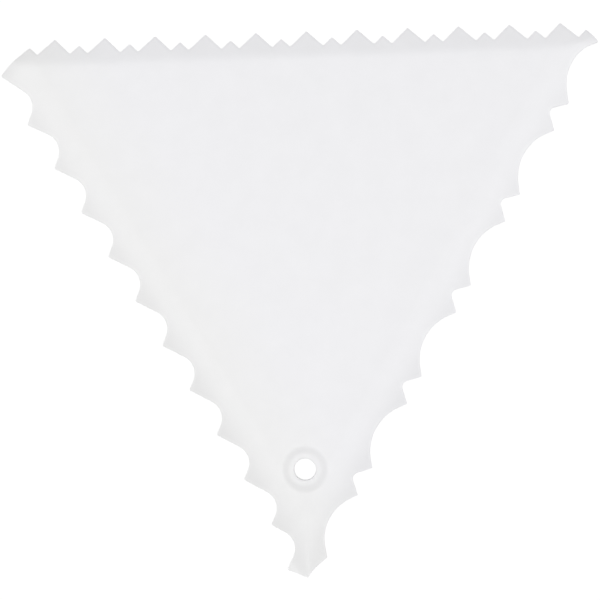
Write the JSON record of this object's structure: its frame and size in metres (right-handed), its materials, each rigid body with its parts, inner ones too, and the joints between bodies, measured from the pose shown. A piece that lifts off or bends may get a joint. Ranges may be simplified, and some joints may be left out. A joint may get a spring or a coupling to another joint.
{
  "type": "cake comb",
  "caption": "Flat triangular icing comb with a differently toothed, swept-back rim on each side and a ringed hang hole in one corner.",
  "frame": {"origin": "middle of the comb's box, on the plane that its tooth tips rest on", "axes": "+Z out of the front face, +Y from the hang hole towards the zigzag side, +X along the zigzag side with the wave side on the +X side"},
  "size_m": [0.1274, 0.116, 0.0048],
  "materials": {
    "white_plastic": "white moulded plastic with a soft satin sheen"
  },
  "bodies": {
    "root": {"panel": "white_plastic", "zigzag_edge": "white_plastic", "scallop_edge": "white_plastic", "wave_edge": "white_plastic", "hang_boss": "white_plastic"}
  },
  "joints": []
}
